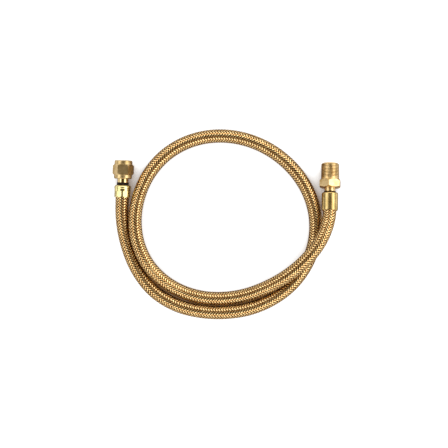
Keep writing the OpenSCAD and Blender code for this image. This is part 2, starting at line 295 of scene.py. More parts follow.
class Finishes(bpy.types.PropertyGroup):
    """Colours"""

    # The braid wire's colour goes from the first of these three to the last: the outer face keeps the first,
    # with a little random tone, and painted shade takes the flanks and the dips under neighbouring strands
    # towards the last
    wire: colour("Wire", "Bronze braid wire where handling has polished it", "#fbdc9e")
    wire_half_shade_and_tone: colour("Wire, toned", "Bronze braid wire where it has toned", "#a86618")
    wire_painted_shade: colour("Wire, dark", "Bronze braid wire where it goes under its neighbours", "#3c1a02")
    nut: colour("Nut", "Turned brass of the nut", "#d6bc8a")
    nut_dark: colour("Nut, toned", "The nut where it has toned", "#ad905b")
    stem: colour("Nut stem", "Turned brass of the nut's stem", "#efd7a0")
    stem_dark: colour("Nut stem, toned", "The nut's stem where it has toned", "#cbae74")
    male: colour("Male end", "Turned brass of the male end", "#e8cb96")
    male_dark: colour("Male end, toned", "The male end where it has toned", "#c49f61")
    crimped: colour("Crimped ferrule", "Pale drawn brass of the crimped ferrule", "#ecdf9f")
    crimped_dark: colour("Crimped ferrule, toned", "The crimped ferrule where it has toned", "#cab97c")
    plain: colour("Plain ferrule", "Drawn brass of the plain ferrule", "#cbb178")
    plain_dark: colour("Plain ferrule, toned", "The plain ferrule where it has toned", "#a68d50")
    # a darker brown laid into the roots of the threads
    film: colour("Film", "Brown film that cutting oil leaves in the roots of the threads", "#624015")
    rubber: colour("Rubber", "Black hose rubber", "#120b05")
    rubber_bloom: colour("Rubber bloom", "Hose rubber where it has bloomed", "#261b10")
    floor: colour("Floor", "Grey of the floor before its glow", "#8f8f8f")
    # painted shadow: the floor's glow goes to this brown where what lies on it hides the sky
    bounce: colour("Bounce", "Floor in the deepest shade, where light comes only off the bronze", "#5c3d16")


class StageSizes(bpy.types.PropertyGroup):
    """Camera, floor and light"""

    view: length("View", "Width that the picture takes in", PICTURE_WIDTH * MM_PER_PIXEL)
    across: length("Across", "Place of the picture's middle along X", -1.95)
    up: length("Up", "Place of the picture's middle along Y", 0.19)
    lens_height: length("Lens height", "Height of the lens above the floor", 2400)
    sharp_height: length("Sharp height", "Height at which the view's width is measured", 8)
    floor: length("Floor", "Side of the floor", 6000)
    floor_glow: amount("Floor glow", "What the floor adds to its own grey for the eye and in metal", 0.98)
    shade_reach: length("Shade reach", "How far what lies on the floor dims it", 40)
    sky: amount("Sky", "Strength of the light all round", 0.86)
    lean: amount("Lean", "Share by which the light is stronger from the right and weaker from the left", 0.27)


def put_away():
    """Leaves edit mode and selects nothing, so that an operator acts only on what is made next."""
    if bpy.context.object and bpy.context.object.mode != "OBJECT":
        bpy.ops.object.mode_set(mode="OBJECT")
    bpy.ops.object.select_all(action="DESELECT")


def turned(name, outline, steps=SIDES):
    """A closed half outline, of radius and place along the axis, spun into a solid about Z."""
    put_away()
    bpy.ops.mesh.primitive_plane_add(size=MM)
    made = bpy.context.object
    made.name = name
    bpy.ops.object.mode_set(mode="EDIT")
    bpy.ops.mesh.merge(type="CENTER")
    places = [Vector((r, 0, z)) for r, z in outline]
    bpy.ops.transform.translate(value=places[0])
    for before, after in zip(places, places[1:] + places[:1]):
        bpy.ops.mesh.extrude_vertices_move(TRANSFORM_OT_translate={"value": after - before})
    bpy.ops.mesh.select_all(action="SELECT")
    bpy.ops.mesh.remove_doubles(threshold=MERGE)
    bpy.ops.mesh.select_all(action="SELECT")
    bpy.ops.mesh.spin(steps=steps, angle=FULL_TURN, center=(0, 0, 0), axis=(0, 0, 1))
    bpy.ops.mesh.select_all(action="SELECT")
    bpy.ops.mesh.remove_doubles(threshold=MERGE)
    bpy.ops.mesh.normals_make_consistent(inside=False)
    bpy.ops.object.mode_set(mode="OBJECT")
    return made


def eased(outline, ease, parts=3):
    """The outline with each corner rounded to the given radius, or less where its sides are short."""
    found = []
    for i, corner in enumerate(outline):
        here = Vector(corner)
        back = Vector(outline[i - 1]) - here
        on = Vector(outline[(i + 1) % len(outline)]) - here
        half = back.angle(on) / 2
        if half > BLUNTEST or half < SHARPEST:
            found.append(here)
            continue
        cut = min(ease / math.tan(half), SIDE_SHARE * back.length, SIDE_SHARE * on.length)
        start, end = here + cut * back.normalized(), here + cut * on.normalized()
        for k in range(parts + 1):
            t = k / parts
            found.append((1 - t) ** 2 * start + 2 * t * (1 - t) * here + t ** 2 * end)
    return [tuple(p) for p in found]


def arc(centre, radius, first, last, parts):
    """Points of a round stretch of outline, its angles in degrees from the radius direction."""
    angles = [math.radians(first + (last - first) * k / parts) for k in range(parts + 1)]
    return [(centre[0] + radius * math.cos(a), centre[1] + radius * math.sin(a)) for a in angles]


def in_steps(start, end, step):
    """Points along a straight stretch of outline, close enough together to be shaped later."""
    parts = max(2, math.ceil((Vector(end) - Vector(start)).length / step))
    return [tuple(Vector(start).lerp(Vector(end), k / parts)) for k in range(parts + 1)]


def reshape(made, new_radius):
    """Moves each vertex of a turned piece along its radius: new_radius takes radius, turn and place."""
    for v in made.data.vertices:
        r = math.hypot(v.co.x, v.co.y)
        if r > 0:
            share = new_radius(r, math.atan2(v.co.y, v.co.x), v.co.z) / r
            v.co.x *= share
            v.co.y *= share


def ridge(turn, z, pitch):
    """Height of a right-hand thread from 0 at its root to 1 at its crest, with both worn flat."""
    phase = (z / pitch - turn / FULL_TURN) % 1
    return min(1, max(0, (ROOT_EDGE - abs(2 * phase - 1)) / (ROOT_EDGE - CREST_EDGE)))


def smooth_step(t):
    """An even rise from 0 to 1 as t goes from 0 to 1, level before and after."""
    t = min(1, max(0, t))
    return t * t * (3 - 2 * t)


def leave_film(made, start, crest, depth, way):
    """Stores how far a thread's colour goes to a darker brown: not at all on its crest, and most in its root.

    It lies past start, crest gives its crest's radius at a place, and way is 1 where the root is outside.
    """
    film = made.data.attributes.new("film", "FLOAT", "POINT")
    for v, mark in zip(made.data.vertices, film.data):
        deep = way * (math.hypot(v.co.x, v.co.y) - crest(v.co.z)) / depth
        if v.co.z > start and deep < PAST_ROOT:
            mark.value = smooth_step(deep)


def corner_of(flats):
    """Distance from a hex bar's axis to its corners."""
    return flats / 2 / math.cos(HALF_FLAT)


def apply_modifier(made, kind, **settings):
    """Gives a piece a modifier with these settings, and applies it."""
    added = made.modifiers.new(kind, kind)
    for field, value in settings.items():
        setattr(added, field, value)
    bpy.context.view_layer.objects.active = made
    bpy.ops.object.modifier_apply(modifier=added.name)


def trim_to_hex(made, flats, turn, low, high, edge):
    """Keeps what lies inside a hex bar along Z, and rounds the edges of the flats that this leaves."""
    # largest slope of a face that counts as upright, and least angle between flats that leaves an edge
    upright, bent = 0.01, 0.1
    put_away()
    bpy.ops.mesh.primitive_cylinder_add(
        vertices=6, radius=corner_of(flats), depth=high - low,
        location=(0, 0, (low + high) / 2), rotation=(0, 0, HALF_FLAT + turn),
    )
    bar = bpy.context.object
    apply_modifier(made, "BOOLEAN", operation="INTERSECT", solver="EXACT", object=bar)
    bpy.data.objects.remove(bar)
    shape = bmesh.new()
    shape.from_mesh(made.data)
    weights = shape.edges.layers.float.new("bevel_weight_edge")
    shape.normal_update()
    on_flat = {
        f for f in shape.faces
        if abs(f.normal.z) < upright and abs(f.calc_center_median().dot(f.normal) - flats / 2) < TOUCH
    }
    for e in shape.edges:
        beside = [f for f in e.link_faces if f in on_flat]
        if beside and (len(beside) == 1 or beside[0].normal.angle(beside[1].normal) > bent):
            e[weights] = 1
    shape.to_mesh(made.data)
    shape.free()
    apply_modifier(made, "BEVEL", limit_method="WEIGHT", width=edge, segments=2)


def finish_turned(made, place):
    """Shades a turned piece, keeps flat faces flat, puts it on its end of the hose and applies that place."""
    put_away()
    made.select_set(True)
    bpy.context.view_layer.objects.active = made
    bpy.ops.object.shade_smooth_by_angle(angle=SMOOTH_BELOW)
    apply_modifier(made, "WEIGHTED_NORMAL", keep_sharp=True)
    made.matrix_world = place
    bpy.ops.object.transform_apply(location=True, rotation=True, scale=True)
    return made


def stand_for(made, node, material, body):
    """The piece takes a packed node's place, rides on its body and wears a material."""
    made.data.materials.clear()
    made.data.materials.append(material)
    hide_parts(node)
    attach(made, body)


def nut_place(ends):
    """Place of the nut end, with Z from the crimped ferrule's mouth to the nut."""
    return Matrix.Translation(ends.nut_mouth) @ Euler((-math.pi / 2, 0, -ends.nut_swing)).to_matrix().to_4x4()


def male_place(ends):
    """Place of the male end, with Z from the plain ferrule's mouth to the thread."""
    turn = Euler((-math.pi / 2 - ends.male_dip, 0, -ends.male_swing))
    return Matrix.Translation(ends.male_mouth) @ turn.to_matrix().to_4x4()


def hose_line(ends, nut_in, male_in):
    """Centre line of the hose on one smooth curve through its route, running straight into both ferrules."""
    per_step = 48
    nut_axis = np.array(nut_place(ends).col[2].xyz)
    male_axis = np.array(male_place(ends).col[2].xyz)
    bearing, far, high = np.array(LAY, float).T
    lay = np.stack([
        LOOP_CENTRE[0] + far * np.cos(np.radians(bearing)),
        LOOP_CENTRE[1] + far * np.sin(np.radians(bearing)),
        high,
    ], 1) * MM
    points = np.vstack([np.array(ends.nut_mouth), lay, np.array(ends.male_mouth)])
    chords = np.diff(points, axis=0)
    reach = np.linalg.norm(chords, axis=1)[:, None]
    ways = chords / reach
    heads = (ways[:-1] * reach[1:] + ways[1:] * reach[:-1]) / (reach[:-1] + reach[1:])
    heads = np.vstack([-nut_axis, heads, male_axis])
    t = (np.arange(per_step) / per_step)[None, :, None]
    a, b = points[:-1, None], points[1:, None]
    ha, hb = (reach * heads[:-1])[:, None], (reach * heads[1:])[:, None]
    curve = (
        (1 + 2 * t) * (1 - t) ** 2 * a + t * (1 - t) ** 2 * ha
        + t ** 2 * (3 - 2 * t) * b - t ** 2 * (1 - t) * hb
    ).reshape(-1, 3)
    into = np.linspace(nut_in, 0, per_step, endpoint=False)[:, None] * nut_axis + points[0]
    out = np.linspace(0, male_in, per_step)[:, None] * male_axis + points[-1]
    return np.vstack([into, curve, out])


def distances(line):
    """How far along a line each of its points lies."""
    return np.concatenate([[0], np.cumsum(np.linalg.norm(np.diff(line, axis=0), axis=1))])


def unit(ways):
    """These directions, each with a length of 1."""
    return ways / np.linalg.norm(ways, axis=1)[:, None]


def on_line(line, places):
    """Points, and the directions along, to the side and up, at distances along a line."""
    gone = distances(line)
    at, ways = [
        np.stack([np.interp(places, gone, part) for part in track.T], 1)
        for track in (line, np.gradient(line, gone, axis=0))
    ]
    way = unit(ways)
    side = unit(np.cross([0, 0, 1], way))
    return at, way, side, np.cross(way, side)


def mesh_of(name, points, faces):
    """A new object with these points and faces, shaded smooth."""
    data = bpy.data.meshes.new(name)
    data.from_pydata(points.reshape(-1, 3), [], faces)
    data.polygons.foreach_set("use_smooth", np.full(len(data.polygons), True))
    data.update()
    made = bpy.data.objects.new(name, data)
    bpy.context.scene.collection.objects.link(made)
    return made


def sleeve_faces(rings, sides, start=0):
    """Quads between rings of points, each ring joined to the next."""
    i, k = np.meshgrid(np.arange(rings - 1), np.arange(sides), indexing="ij")
    a = start + i * sides + k
    b = start + i * sides + (k + 1) % sides
    return np.stack([a, b, b + sides, a + sides], -1).reshape(-1, 4)


def feed(tree, node, sockets):
    """Gives a node its inputs, each a value or another node's output."""
    for socket, value in sockets.items():
        if isinstance(value, bpy.types.NodeSocket):
            tree.links.new(value, node.inputs[socket])
        else:
            node.inputs[socket].default_value = value


def add_node(tree, kind, sockets=None, **settings):
    """Adds one node: settings are its own fields, and sockets its inputs."""
    made = tree.nodes.new(kind)
    for field, value in settings.items():
        setattr(made, field, value)
    feed(tree, made, sockets or {})
    return made


def new_material(name):
    """A material with an empty Principled shader, and its tree."""
    made = bpy.data.materials.new(name)
    made.use_nodes = True
    return made, made.node_tree, made.node_tree.nodes["Principled BSDF"]


def on_object(tree):
    """Place on the object, in metres."""
    return add_node(tree, "ShaderNodeTexCoord").outputs["Object"]


def per_metre(mm):
    """Noise scale at which one patch is about this many mm across."""
    return 1 / (mm * MM)


def noise(tree, place, mm, detail=2.0):
    """Uneven patches of about this many mm, from 0 to 1."""
    sockets = {"Vector": place, "Scale": per_metre(mm), "Detail": detail}
    return add_node(tree, "ShaderNodeTexNoise", sockets).outputs["Fac"]


def spread(tree, value, low=0.0, high=1.0, start=0.0, end=1.0):
    """Goes from low to high as a value goes from start to end."""
    sockets = {"Value": value, "From Min": start, "From Max": end, "To Min": low, "To Max": high}
    return add_node(tree, "ShaderNodeMapRange", sockets).outputs["Result"]


def combine(tree, operation, first, second):
    """One value worked out from two."""
    return add_node(tree, "ShaderNodeMath", {0: first, 1: second}, operation=operation).outputs[0]


def blend(tree, share, first, second):
    """The first colour where the share is 0, and the second where it is 1."""
    return add_node(tree, "ShaderNodeMix", {0: share, 6: first, 7: second}, data_type="RGBA").outputs[2]


def relief(tree, height, strength, mm):
    """Bumps this many mm high."""
    sockets = {"Height": height, "Strength": strength, "Distance": mm * MM}
    return add_node(tree, "ShaderNodeBump", sockets).outputs["Normal"]


def bronze_wire(finishes):
    """Drawn bronze wire: a bright golden-brown metal, each wire toned a little differently, and painted
    darker as shade on its flanks and where it dips under its neighbours.
    """
    made, tree, shader = new_material("drawn_bronze_wire")
    wire = add_node(tree, "ShaderNodeAttribute", attribute_name="wire_tone_and_shade").outputs["Fac"]
    patches = noise(tree, on_object(tree), mm=9, detail=3.0)
    # tone and painted shade of the wire, varied in random patches
    tone = combine(tree, "MULTIPLY", wire, spread(tree, patches, low=0.6, high=1.4))
    hue = add_node(tree, "ShaderNodeValToRGB", {"Fac": tone})
    stops = hue.color_ramp.elements
    stops[0].color = finishes.wire
    stops[1].color = finishes.wire_painted_shade
    stops.new(0.5).color = finishes.wire_half_shade_and_tone
    rough = spread(tree, patches, low=0.285, high=0.38)
    feed(tree, shader, {"Base Color": hue.outputs["Color"], "Roughness": rough, "Metallic": 1})
    return made


def brass(name, light, dark, place, rough, film=None):
    """Brass worked on a lathe: a yellow metal with fine rings round its axis and slight toning in patches.

    Where a film colour is given, the thread's roots go to that darker brown.
    """
    # real tool marks are about 0.1 mm apart, and these are coarser so that they show
    mark_mm, mark_rough = 0.45, 0.06
    made, tree, shader = new_material(name)
    local = add_node(
        tree, "ShaderNodeMapping",
        {"Vector": on_object(tree), "Location": place.translation, "Rotation": place.to_euler()},
        vector_type="TEXTURE",
    ).outputs["Vector"]
    along = add_node(tree, "ShaderNodeSeparateXYZ", {0: local}).outputs["Z"]
    rings = add_node(
        tree, "ShaderNodeTexNoise", {"W": along, "Scale": per_metre(mark_mm), "Detail": 2.0},
        noise_dimensions="1D",
    ).outputs["Fac"]
    patches = noise(tree, local, mm=5, detail=4.0)
    hue = blend(tree, spread(tree, patches, start=0.35, end=0.75), light, dark)
    if film is not None:
        thick = add_node(tree, "ShaderNodeAttribute", attribute_name="film").outputs["Fac"]
        hue = blend(tree, thick, hue, film)
    feed(tree, shader, {
        "Base Color": hue,
        "Roughness": spread(tree, rings, rough - mark_rough, rough + mark_rough),
        "Normal": relief(tree, rings, strength=0.2, mm=0.02),
        "Metallic": 1,
    })
    return made


def hose_rubber(name, finishes):
    """Black moulded rubber: nearly matt, with a fine uneven skin and a faint bloom."""
    made, tree, shader = new_material(name)
    skin = noise(tree, on_object(tree), mm=0.8, detail=4.0)
    feed(tree, shader, {
        "Base Color": blend(tree, skin, finishes.rubber, finishes.rubber_bloom),
        "Roughness": spread(tree, skin, low=0.6, high=0.8),
        "Normal": relief(tree, skin, strength=0.3, mm=0.05),
        "Specular IOR Level": 0.15,
    })
    return made


def studio_paper(sizes, finishes):
    """White studio paper: it glows for the eye and in metal, and its glow is painted down to brown near what
    lies on it, a painted shadow that reaches further in metal than to the eye.
    """
    made, tree, shader = new_material("pale_studio_paper")
    rays = add_node(tree, "ShaderNodeLightPath").outputs
    seen = combine(tree, "MAXIMUM", rays["Is Camera Ray"], rays["Is Glossy Ray"])
    seen = combine(tree, "MAXIMUM", seen, rays["Is Transmission Ray"])
    open_sky = add_node(
        tree, "ShaderNodeAmbientOcclusion", {"Distance": sizes.shade_reach}, samples=16
    ).outputs["AO"]
    shade, white = [
        spread(tree, rays["Is Camera Ray"], low=in_metal, high=to_the_eye)
        for to_the_eye, in_metal in zip(SHADE_SEEN, SHADE_MIRRORED)
    ]
    lit = spread(tree, open_sky, start=shade, end=white)
    feed(tree, shader, {
        "Base Color": finishes.floor,
        "Roughness": spread(tree, noise(tree, on_object(tree), mm=40), low=0.85, high=1.0),
        "Specular IOR Level": 0,
        # painted shadow: the glow is blended to the bounce brown where little sky is open
        "Emission Color": blend(tree, lit, finishes.bounce, linear("#ffffff")),
        "Emission Strength": combine(tree, "MULTIPLY", seen, sizes.floor_glow),
    })
    return made


class SUPPLY_OT_stage(bpy.types.Operator):
    """Makes the floor, the soft light all round and the camera straight above"""

    bl_idname = "supply_line.stage"
    bl_label = "Stage"

    def execute(self, context):
        scene = context.scene
        scene.view_settings.view_transform = "Standard"
        self.floor(scene.supply_stage, scene.supply_finishes)
        self.light(scene, scene.supply_stage)
        self.camera(scene, scene.supply_stage)
        return {"FINISHED"}

    def floor(self, sizes, finishes):
        """Lays the floor."""
        put_away()
        bpy.ops.mesh.primitive_plane_add(size=sizes.floor)
        made = bpy.context.object
        made.name = "floor"
        made.data.materials.append(studio_paper(sizes, finishes))

    def light(self, scene, sizes):
        """Lights the scene from all round, a little more from the right."""
        world = scene.world or bpy.data.worlds.new("studio")
        scene.world = world
        world.use_nodes = True
        tree = world.node_tree
        way = add_node(
            tree, "ShaderNodeSeparateXYZ", {0: add_node(tree, "ShaderNodeTexCoord").outputs["Generated"]}
        ).outputs
        ramp = add_node(tree, "ShaderNodeValToRGB", {"Fac": way["Z"]})
        stops = ramp.color_ramp.elements
        for place, level, warm in STUDIO[1:-1]:
            stops.new(place)
        for stop, (place, level, warm) in zip(stops, STUDIO):
            stop.color = (*[level * (1 - warm * (1 - part)) for part in WARM], 1)
        lean = spread(tree, way["X"], 1 - sizes.lean, 1 + sizes.lean, start=-1.0)
        feed(tree, tree.nodes["Background"], {
            "Color": ramp.outputs["Color"], "Strength": combine(tree, "MULTIPLY", lean, sizes.sky),
        })

    def camera(self, scene, sizes):
        """Hangs the camera straight above, with a lens that takes in the view's width."""
        lens = bpy.data.cameras.new("camera")
        eye = bpy.data.objects.new("camera", lens)
        scene.collection.objects.link(eye)
        eye.location = (sizes.across, sizes.up, sizes.lens_height)
        lens.lens = lens.sensor_width * (sizes.lens_height - sizes.sharp_height) / sizes.view
        lens.clip_end = FAR_CLIP
        scene.camera = eye


class SUPPLY_OT_braid(bpy.types.Operator):
    """Weaves the wires of the braid over the hose, two strands over and two under"""

    bl_idname = "supply_line.braid"
    bl_label = "Braid"

    def execute(self, context):
        scene = context.scene
        hose, ends, ferrules = scene.supply_hose, scene.supply_ends, scene.supply_ferrules
        if hose.strands % (2 * PIECES):
            raise ValueError("The strands each way have to be a multiple of six")
        line = hose_line(ends, ferrules.nut_length - ferrules.lip, ferrules.male_length - ferrules.lip)
        metal = bronze_wire(scene.supply_finishes)
        draw = np.random.default_rng(SEED)
        group = hose.strands // PIECES
        for way, hand in ((1, "right"), (-1, "left")):
            for piece in range(PIECES):
                strands = range(piece * group, (piece + 1) * group)
                made = self.weave(f"braid_{hand}_{piece + 1}", hose, line, way, strands, draw)
                stand_for(made, "braid_sleeve", metal, "line")
        return {"FINISHED"}

    def weave(self, name, hose, line, way, strands, draw):
        """Neighbouring strands of one way as one object, with their tones and painted shade and their places
        for the bake.
        """
        long = distances(line)[-1]
        end = np.array(WIRE_END)
        points, faces, tones, maps = [], [], [], []
        done = 0
        for strand in strands:
            stray = draw.uniform(0, FULL_TURN, 2)
            for wire in range(hose.wires):
                rings, tone = self.wire(hose, line, long, way, strand, wire, stray)
                n = len(rings)
                start, last = done * CORNERS, (done + n - 1) * CORNERS
                points.append(rings.reshape(-1, 3))
                faces += [sleeve_faces(n, CORNERS, start), start + end[:, ::-1], last + end]
                maps.append(self.map(n, len(maps), len(strands) * hose.wires))
                tones.append(tone + draw.uniform(*WIRE_TONES))
                done += n
        made = mesh_of(name, np.vstack(points), np.vstack(faces))
        # the outer face of a wire is worn flat, so its two edges are sharp
        pairs = np.empty(2 * len(made.data.edges), np.int32)
        made.data.edges.foreach_get("vertices", pairs)
        near, far = pairs.reshape(-1, 2).T % CORNERS
        made.data.edges.foreach_set("use_edge_sharp", (near == far) & (near < OUTER_CORNERS))
        tone = made.data.attributes.new("wire_tone_and_shade", "FLOAT", "POINT")
        tone.data.foreach_set("value", np.concatenate(tones).astype(np.float32))
        layer = made.data.uv_layers.new(name="OFBake")
        layer.uv.foreach_set("vector", np.vstack(maps).astype(np.float32).ravel())
        return made

    def wire(self, hose, line, long, way, strand, wire, stray):
        """Rings of points along one wire, and each point's tone with its painted shade."""
        step = hose.lay / (2 * hose.strands)
        clear = step / 4
        most = math.ceil((long / step + 2 * hose.strands) / CROSSINGS) * RINGS
        crossings = CROWN + np.arange(-most, most + 1) * CROSSINGS / RINGS
        places = np.sort(way * (crossings - 2 * strand) * step)
        places = np.concatenate([[0], places[(places > clear) & (places < long - clear)], [long]])
        at, along, side, up = on_line(line, places)
        past_crown = 2 * strand + way * places / step - CROWN
        half = hose.outside / 2
        wave = np.clip(FLATTENING * np.cos(FULL_TURN / CROSSINGS * past_crown), -1, 1)
        rise = way * np.sin(math.pi / 2 * wave)
        radius = half - hose.wire / 2 - (1 - rise) / 2 * hose.dip
        drift = hose.wander / half * sum(
            share * np.sin(places / (far * hose.outside) * FULL_TURN + start)
            for (far, share), start in zip(STRAYS, stray)
        )
        turn = FULL_TURN * (strand / hose.strands + way * places / hose.lay) + drift
        c, s = np.cos(turn)[:, None], np.sin(turn)[:, None]
        out = c * side + s * up
        round_way = -s * side + c * up
        travel = unit(along + way * (FULL_TURN * radius / hose.lay)[:, None] * round_way)
        across = np.cross(out, travel)
        offset = (wire - (hose.wires - 1) / 2) * hose.wire
        middle = at + (radius - offset ** 2 / 2 / radius)[:, None] * out + offset * across
        lean = unit(out - offset / half * across)
        flank = np.cross(travel, lean)
        wide, tall, toned = np.array(WIRE_SECTION).T[:, None]
        corners = wide[..., None] * flank[:, None] + tall[..., None] * lean[:, None]
        # painted shade: the flanks get it from the section, and the wire gets more where it dips under its
        # neighbours
        tone = toned + DIP_SHADE * np.clip((1 - rise[:, None]) / DIP_SHADE_LOW, 0, 1)
        return middle[:, None] + hose.wire * corners, tone.ravel()

    def map(self, n, row, rows):
        """Places on the bake's image: one row for each wire, with its length across the image."""
        margin, end_wide, end_tall = 0.1, 0.001, 0.05
        i, k = np.meshgrid(np.arange(n - 1), np.arange(CORNERS), indexing="ij")
        low, high = [(row + margin + (1 - 2 * margin) * edge / CORNERS) / rows for edge in (k, k + 1)]
        near, far = i / (n - 1), (i + 1) / (n - 1)
        quads = np.stack([near, low, near, high, far, high, far, low], -1).reshape(-1, 2)
        top = row + end_tall
        end = np.array([[0, row], [0, top], [end_wide, top], [end_wide, row]]) / [1, rows]
        return np.vstack([quads] + 2 * len(WIRE_END) * [end])


class SUPPLY_OT_ferrules(bpy.types.Operator):
    """Turns the two ferrules and presses the crimping jaws' flats into the one on the nut end"""

    bl_idname = "supply_line.ferrules"
    bl_label = "Ferrules"

    def execute(self, context):
        scene = context.scene
        sizes, ends, finishes = scene.supply_ferrules, scene.supply_ends, scene.supply_finishes
        self.crimped(sizes, ends, finishes)
        self.plain(sizes, ends, finishes)
        return {"FINISHED"}

    def inside(self, sizes, end):
        """Outline of the bore, from the hole in the lip back to the mouth."""
        seat = end - sizes.lip
        return [(sizes.lip_bore / 2, seat), (sizes.bore / 2, seat)]

    def crimped(self, sizes, ends, finishes):
        """Turns the crimped ferrule, with a bulge at its lip, and presses the jaw flats into its band."""
        fine = 0.2 * MM
        end, bulge = sizes.nut_length, sizes.nut_length - sizes.nut_round
        core, band = sizes.nut / 2 - sizes.nut_round, sizes.band / 2
        meet = math.degrees(math.acos((band - core) / sizes.nut_round))
        lip = math.degrees(math.acos((sizes.lip_bore / 2 - core) / sizes.nut_round))
        wall = in_steps((band, 0), (band, bulge - sizes.nut_round * math.sin(math.radians(meet))), fine)
        outline = (
            [(sizes.bore / 2, 0)] + wall + arc((core, bulge), sizes.nut_round, -meet, lip, parts=24)[1:]
            + self.inside(sizes, end)
        )
        made = turned("crimped_ferrule", eased(outline, ends.ease), steps=2 * SIDES)
        low, high = sizes.jaw_rim, sizes.jaw_rim + sizes.jaw_length
        one = FULL_TURN / sizes.jaws

        def pressed(r, turn, z):
            """Radius after the jaws have pressed."""
            if r < (sizes.bore / 2 + band) / 2:
                return r
            off = (turn + math.pi / 2) % one - one / 2
            flat = (band - sizes.jaw_depth) / math.cos(off)
            share = smooth_step((z - low) / JAW_IN) * smooth_step((high - z) / JAW_OUT)
            return r + share * min(0, flat - r)

        reshape(made, pressed)
        place = nut_place(ends)
        metal = brass("drawn_brass_crimped", finishes.crimped, finishes.crimped_dark, place, rough=0.24)
        stand_for(finish_turned(made, place), "nut_ferrule", metal, "line")

    def plain(self, sizes, ends, finishes):
        """Turns the plain ferrule, with a drawn-in mouth and a round shoulder."""
        end, r = sizes.male_length, sizes.male / 2
        core, body = r - sizes.male_round, end - sizes.male_round
        outline = (
            [(sizes.bore / 2, 0), (r - sizes.jaw_depth, 0), (r, sizes.male_mouth)]
            + arc((core, body), sizes.male_round, 0, 90, parts=10) + [(sizes.lip_bore / 2, end)]
            + self.inside(sizes, end)
        )
        made = turned("plain_ferrule", eased(outline, ends.ease))
        place = male_place(ends)
        metal = brass("drawn_brass_plain", finishes.plain, finishes.plain_dark, place, rough=0.26)
        stand_for(finish_turned(made, place), "male_ferrule", metal, "line")


def tail_outline(ends, stem_start):
    """Outline of a stem from its water way's inner end over the barbed tail to the end of the rubber."""
    root, pitch = ends.tail / 2, (stem_start - ends.inset) / (ends.barbs + 1)
    found = [(ends.water_way / 2, ends.inset)]
    for i in range(ends.barbs):
        low, high = ends.inset + i * pitch, ends.inset + (i + BARB_SLOPE) * pitch
        found += [(root - (ends.bite if i == 0 else 0), low), (root + ends.bite, high), (root, high)]
    return found + [(root, stem_start)]


class SUPPLY_OT_nut_stem(bpy.types.Operator):
    """Turns the stem of the nut end: barbed tail, neck, flange and nose"""

    bl_idname = "supply_line.nut_stem"
    bl_label = "Nut stem"

    def execute(self, context):
        scene = context.scene
        nut, ends, finishes = scene.supply_nut, scene.supply_ends, scene.supply_finishes
        start = scene.supply_ferrules.nut_length + ends.nut_rubber
        back, face = nut.flange_start, nut.flange_start + nut.flange_length
        outline = tail_outline(ends, start) + [
            (ends.neck / 2, start), (ends.neck / 2, back), (nut.flange / 2, back), (nut.flange / 2, face),
            (nut.nose / 2, face), (nut.nose / 2, face + nut.nose_length),
            (ends.water_way / 2, face + nut.nose_length),
        ]
        made = turned("swivel_stem", eased(outline, ends.ease))
        place = nut_place(ends)
        metal = brass("turned_brass_stem", finishes.stem, finishes.stem_dark, place, rough=0.14)
        stand_for(finish_turned(made, place), "nut_stem", metal, "line")
        return {"FINISHED"}


class SUPPLY_OT_male_stem(bpy.types.Operator):
    """Turns the stem of the male end from hex bar: barbed tail, neck, hex and pipe thread"""

    bl_idname = "supply_line.male_stem"
    bl_label = "Male stem"

    def execute(self, context):
        scene = context.scene
        male, ends, finishes = scene.supply_male, scene.supply_ends, scene.supply_finishes
        start = scene.supply_ferrules.male_length + ends.male_rubber
        corner = corner_of(male.flats)
        thread = male.start + male.hex_length
        tip, r, fine = thread + male.thread_length, male.thread / 2, male.pitch / 10
        outline = tail_outline(ends, start) + [
            (ends.neck / 2, start), (ends.neck / 2, male.start), (male.face_back / 2, male.start),
            (corner, male.start + male.cone_back), (corner, thread - male.cone_front),
            (male.face_front / 2, thread),
        ]
        outline += in_steps((r, thread), (r, tip - male.tip), fine)
        outline += in_steps((r, tip - male.tip), (r - male.tip, tip), fine)[1:]
        bore = ends.water_way / 2
        outline += [(bore + male.sink, tip), (bore, tip - male.sink)]
        made = turned("male_stem_body", eased(outline, ends.ease))

        def threaded(radius, turn, z):
            """Radius after the thread is cut."""
            if z < thread or radius < r - male.tip:
                return radius
            runs = smooth_step((z - thread) / (RUN_IN * male.pitch))
            return min(radius, r - male.depth * runs * (1 - ridge(turn, z, male.pitch)))

        reshape(made, threaded)
        trim_to_hex(made, male.flats, male.turn, 0, tip + MM, ends.ease)
        leave_film(made, thread, lambda z: min(r, r + tip - male.tip - z), male.depth, way=-1)
        place = male_place(ends)
        metal = brass(
            "turned_brass_male", finishes.male, finishes.male_dark, place, rough=0.29, film=finishes.film
        )
        stand_for(finish_turned(made, place), "male_stem", metal, "line")
        return {"FINISHED"}


